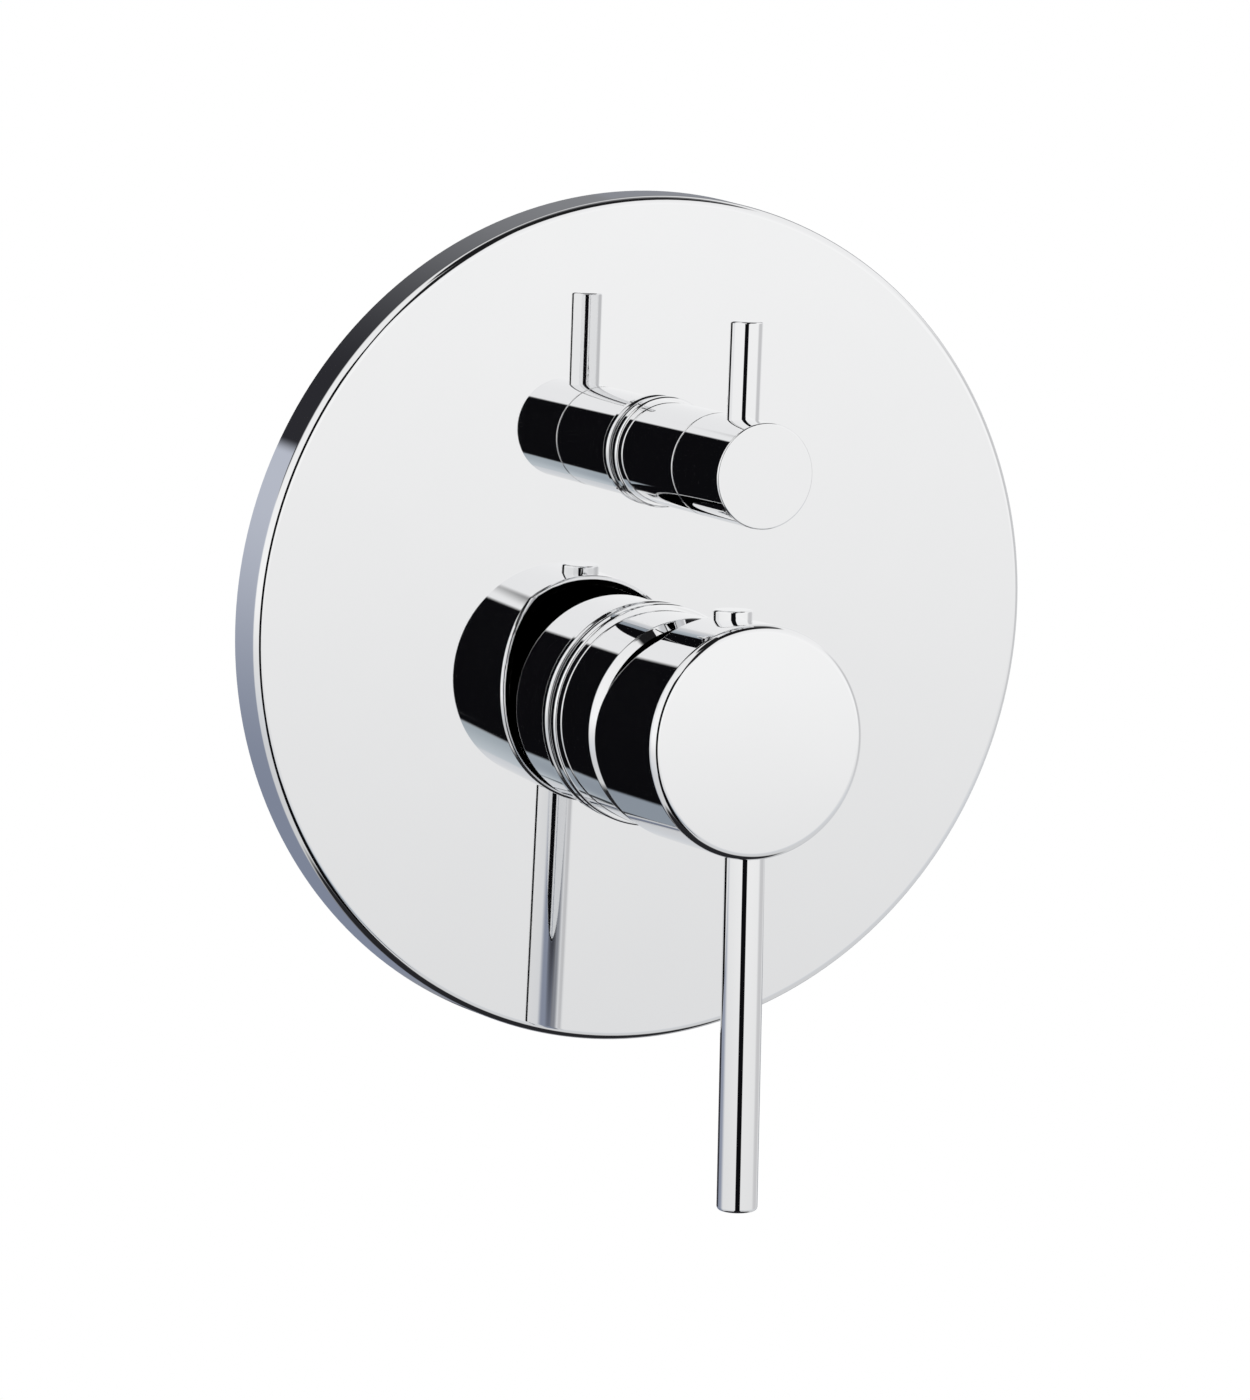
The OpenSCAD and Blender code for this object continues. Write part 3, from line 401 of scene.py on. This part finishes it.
def bar(name, matrix, r, start, end, edge, node, body):
    """Round pin along local Z from start to end, its far edge rounded."""
    b = Builder()
    lathe(b, [line((0.0, start), (r, start)), line((r, start), (r, end - edge), 4),
              arc((r - edge, end - edge), edge, 0, 90, 8), line((r - edge, end), (0.0, end))],
          segments=BAR_SEGMENTS)
    o = b.make(name, matrix, CHROME, body, node)


bar("lever_rod", across(raked(), PLATE_DEPTH + LEVER_OUT, False), LEVER_R, LEVER_START, LEVER_REACH,
    LEVER_EDGE, "handle_lever", "handle")
plug_start = math.sqrt(HANDLE_R ** 2 - PLUG_R ** 2) - PLUG_SINK
bar("top_plug", across(raked(), PLATE_DEPTH + PLUG_OUT, True), PLUG_R, plug_start, HANDLE_R + PLUG_H,
    PLUG_EDGE, "index_plug", "handle")

# The diverter's knob and pin
b = Builder()
knob_back, knob_front = PLATE_DEPTH + SEAM + SEAM_GAP, PLATE_DEPTH + KNOB_REACH
bore_end = knob_back + KNOB_BORE_DEPTH
lathe(b, [line((KNOB_BORE, knob_back), (KNOB_R - KNOB_BACK_EDGE, knob_back)),
          arc((KNOB_R - KNOB_BACK_EDGE, knob_back + KNOB_BACK_EDGE), KNOB_BACK_EDGE, -90, 0, 4),
          line((KNOB_R, knob_back + KNOB_BACK_EDGE), (KNOB_R, knob_front - KNOB_EDGE), 4),
          arc((KNOB_R - KNOB_EDGE, knob_front - KNOB_EDGE), KNOB_EDGE, 0, 90, 10),
          line((KNOB_R - KNOB_EDGE, knob_front), (0.0, knob_front), 2),
          line((KNOB_BORE, bore_end), (KNOB_BORE, knob_back)),
          line((STEM_HOLE_R, bore_end), (KNOB_BORE, bore_end))])
knob = b.make("knob_shell", control(DIV_Z), CHROME, "diverter", "diverter_knob")
bar("knob_pin", across(control(DIV_Z), PLATE_DEPTH + PIN_OUT, True), PIN_R, PIN_START, PIN_REACH,
    PIN_EDGE, "diverter_lever", "diverter")

# The camera, as fitted to the photograph: angles in degrees, lengths in metres, and in pixels of its height
AZIMUTH, ELEVATION, ROLL = math.radians(26.369), math.radians(9.01), math.radians(2.01)
DISTANCE, AIM = 0.9905, Vector((-0.000963, 0, -0.017777))
FOCAL_PX, HEIGHT_PX, SENSOR_MM = 4662.8, 1400.0, 36.0
back_v = Vector((-math.sin(AZIMUTH) * math.cos(ELEVATION), -math.cos(AZIMUTH) * math.cos(ELEVATION),
                 math.sin(ELEVATION)))
right_v = Vector((math.cos(AZIMUTH), -math.sin(AZIMUTH), 0.0))
up_v = back_v.cross(right_v)
cam_right = right_v * math.cos(ROLL) + up_v * math.sin(ROLL)
cam_up = -right_v * math.sin(ROLL) + up_v * math.cos(ROLL)
cam_data = bpy.data.cameras.new("camera")
cam = bpy.data.objects.new("camera", cam_data)
bpy.context.scene.collection.objects.link(cam)
basis = Matrix((cam_right, cam_up, back_v)).transposed().to_4x4()
cam.matrix_world = Matrix.Translation(AIM + back_v * DISTANCE) @ basis
cam_data.sensor_fit = "AUTO"
cam_data.sensor_width = SENSOR_MM
cam_data.lens = FOCAL_PX * SENSOR_MM / HEIGHT_PX
cam_data.clip_start, cam_data.clip_end = 0.05, 50.0
bpy.context.scene.camera = cam

# The surroundings, drawn by direction: D is a ray's direction, with X to the right, Y into the wall and Z up
world = bpy.data.worlds.new("studio")
bpy.context.scene.world = world
world.use_nodes = True
wt = world.node_tree
wt.nodes.clear()
DIRECTION = wt.nodes.new("ShaderNodeTexCoord").outputs["Generated"]
separate = wt.nodes.new("ShaderNodeSeparateXYZ")
wt.links.new(DIRECTION, separate.inputs[0])
DX, DY, DZ = separate.outputs


def wmath(op, a, b):
    n = wt.nodes.new("ShaderNodeMath")
    n.operation = op
    for i, v in enumerate((a, b)):
        if isinstance(v, (int, float)):
            n.inputs[i].default_value = v
        else:
            wt.links.new(v, n.inputs[i])
    return n.outputs[0]


def wdot(v):
    n = wt.nodes.new("ShaderNodeVectorMath")
    n.operation = "DOT_PRODUCT"
    wt.links.new(DIRECTION, n.inputs[0])
    n.inputs[1].default_value = tuple(v)
    return n.outputs["Value"]


def step(value, low, high):
    """0 below low, 1 above high, smooth between."""
    n = wt.nodes.new("ShaderNodeMapRange")
    n.interpolation_type = "SMOOTHSTEP"
    n.inputs["From Min"].default_value = low
    n.inputs["From Max"].default_value = high
    wt.links.new(value, n.inputs["Value"])
    return n.outputs["Result"]


def wmix(factor, a, b):
    n = wt.nodes.new("ShaderNodeMix")
    n.data_type = "RGBA"
    for name, v in (("A", a), ("B", b)):
        if isinstance(v, tuple):
            n.inputs[name].default_value = (*v, 1)
        else:
            wt.links.new(v, n.inputs[name])
    wt.links.new(factor, n.inputs["Factor"])
    return n.outputs["Result"]


def card(azimuth, elevation, half_w, half_h, soft):
    """Mask of a rectangular card, its middle at azimuth (0 is -Y, positive towards +X) and elevation, and
    its half width, half height and soft edge, all in degrees."""
    az, el = math.radians(azimuth), math.radians(elevation)
    centre = Vector((math.sin(az) * math.cos(el), -math.cos(az) * math.cos(el), math.sin(el)))
    right = Vector((math.cos(az), math.sin(az), 0))
    up = right.cross(centre)
    up = up if up.z > 0 else -up
    ahead = wdot(centre)
    # Only the half of all directions that faces the card, and no division by zero beside it
    mask = step(ahead, 0.0, 0.05)
    safe = wmath("MAXIMUM", ahead, 0.001)
    edge = math.tan(math.radians(soft)) / 2
    for way, half in ((right, half_w), (up, half_h)):
        reach = math.tan(math.radians(half))
        off = wmath("ABSOLUTE", wmath("DIVIDE", wdot(way), safe), 0.0)
        mask = wmath("MULTIPLY", mask, wmath("SUBTRACT", 1.0, step(off, reach - edge, reach + edge)))
    return mask


# From the dark floor and its bounce below to the white above: the sine of the elevation, and the tone
LAYERS = [(-0.82, (0.02, 0.02, 0.023)), (-0.75, (0.66, 0.665, 0.67)), (-0.454, (0.66, 0.67, 0.69)),
          (-0.36, (0.70, 0.72, 0.75)), (-0.216, (0.800, 0.802, 0.806)), (-0.122, (0.905, 0.905, 0.906)),
          (-0.059, (0.962, 0.962, 0.962)), (0.02, (1.0, 1.0, 1.0)), (0.5, (0.93, 0.93, 0.935)),
          (1.0, (0.88, 0.88, 0.88))]
ramp = wt.nodes.new("ShaderNodeValToRGB")
wt.links.new(wmath("ADD", wmath("MULTIPLY", DZ, 0.5), 0.5), ramp.inputs["Fac"])
elements = ramp.color_ramp.elements
for k, (height, tone) in enumerate(LAYERS):
    at = 0.5 + 0.5 * height
    stop = elements[k] if k < 2 else elements.new(at)
    stop.position = at
    stop.color = (*tone, 1)
colour = ramp.outputs["Color"]
# Overhead, a dark opening that turns grey to the back right, and a dark strip in front of it
overhead = wdot((0.18, -0.10, 1.0))
back_right = wmath("ADD", DY, wmath("MULTIPLY", DX, 0.5))
top_tone = wmix(step(back_right, 0.0, 0.6), (0.012, 0.012, 0.013), (0.33, 0.33, 0.34))
colour = wmix(step(overhead, 0.865, 0.90), colour, top_tone)
colour = wmix(card(-13.0, 45.5, 10.5, 16.5, 3.0), colour, (0.012, 0.012, 0.013))
# A greyer wall at the far right
colour = wmix(step(DX, 0.86, 0.98), colour, (0.60, 0.60, 0.61))
# Low in front, the table's edge, lighter to the right and darker below, with a dark upright line in it
table = wmix(step(DX, -0.2, 0.2), (0.36, 0.41, 0.45), (0.55, 0.60, 0.64))
table = wmix(step(DZ, -0.47, -0.43), (0.29, 0.33, 0.38), table)
colour = wmix(card(1.5, -28.0, 8.5, 5.0, 3.0), colour, table)
colour = wmix(card(10.0, -29.0, 1.1, 3.4, 0.8), colour, (0.05, 0.055, 0.06))
# The room behind the plate: lavender, greyer to the right, with a dark ledge, and dark above and below
room = wmix(step(DZ, -0.45, 0.20), (0.22, 0.25, 0.33), (0.50, 0.53, 0.61))
room = wmix(step(DX, 0.22, 0.38), room, (0.26, 0.27, 0.30))
room = wmix(card(176.0, -12.5, 25.0, 4.5, 3.0), room, (0.04, 0.04, 0.048))
above = wmix(step(DX, -0.30, 0.45), (0.025, 0.025, 0.03), (0.24, 0.245, 0.26))
room = wmix(step(DZ, 0.245, 0.275), room, above)
room = wmix(step(DZ, -0.75, -0.66), (0.02, 0.02, 0.023), room)
colour = wmix(step(DY, 0.35, 0.75), colour, room)
# The dark card round the camera and, below it, what carries it
CARD_TONE = (0.004, 0.004, 0.005)
colour = wmix(card(-24.5, 4.0, 13.5, 31.0, 2.0), colour, CARD_TONE)
colour = wmix(card(-24.0, -38.0, 15.5, 16.0, 2.0), colour, CARD_TONE)


def background(tone):
    n = wt.nodes.new("ShaderNodeBackground")
    if isinstance(tone, tuple):
        n.inputs["Color"].default_value = (*tone, 1)
    else:
        wt.links.new(tone, n.inputs["Color"])
    return n.outputs[0]


def by_ray(t, ray, others, chosen):
    """Shader that is chosen for one kind of ray and others for all the rest."""
    rays = t.nodes.new("ShaderNodeLightPath")
    n = t.nodes.new("ShaderNodeMixShader")
    t.links.new(rays.outputs[ray], n.inputs["Fac"])
    t.links.new(others, n.inputs[1])
    t.links.new(chosen, n.inputs[2])
    return n.outputs[0]


# Mirrors see the surroundings, the camera sees white, and all else is lit by an even soft white
SOFT_WHITE, WHITE = (0.9, 0.9, 0.9), (1, 1, 1)
lit = by_ray(wt, "Is Glossy Ray", background(SOFT_WHITE), background(colour))
world_out = wt.nodes.new("ShaderNodeOutputWorld")
wt.links.new(by_ray(wt, "Is Camera Ray", lit, background(WHITE)), world_out.inputs["Surface"])

# A white floor below, unseen in the chrome
FLOOR_HALF, FLOOR_Z = 6.0, -0.30
floor_mesh = bpy.data.meshes.new("floor")
floor_corners = [(x * FLOOR_HALF, y * FLOOR_HALF, 0) for x, y in ((-1, -1), (1, -1), (1, 1), (-1, 1))]
floor_mesh.from_pydata(floor_corners, [], [(0, 1, 2, 3)])
floor = bpy.data.objects.new("floor", floor_mesh)
bpy.context.scene.collection.objects.link(floor)
floor.location = (0, 0, FLOOR_Z)
floor_white, ft, fb = new_material("floor_white")
fb.inputs["Base Color"].default_value = (*SOFT_WHITE, 1)
fb.inputs["Roughness"].default_value = 0.9
fb.inputs["Specular IOR Level"].default_value = 0.0
glow = ft.nodes.new("ShaderNodeEmission")
glow.inputs["Color"].default_value = (*WHITE, 1)
ft.links.new(by_ray(ft, "Is Camera Ray", fb.outputs[0], glow.outputs[0]),
             ft.nodes["Material Output"].inputs["Surface"])
floor_mesh.materials.append(floor_white)
floor.visible_glossy = False

bpy.context.scene.view_settings.view_transform = "Standard"
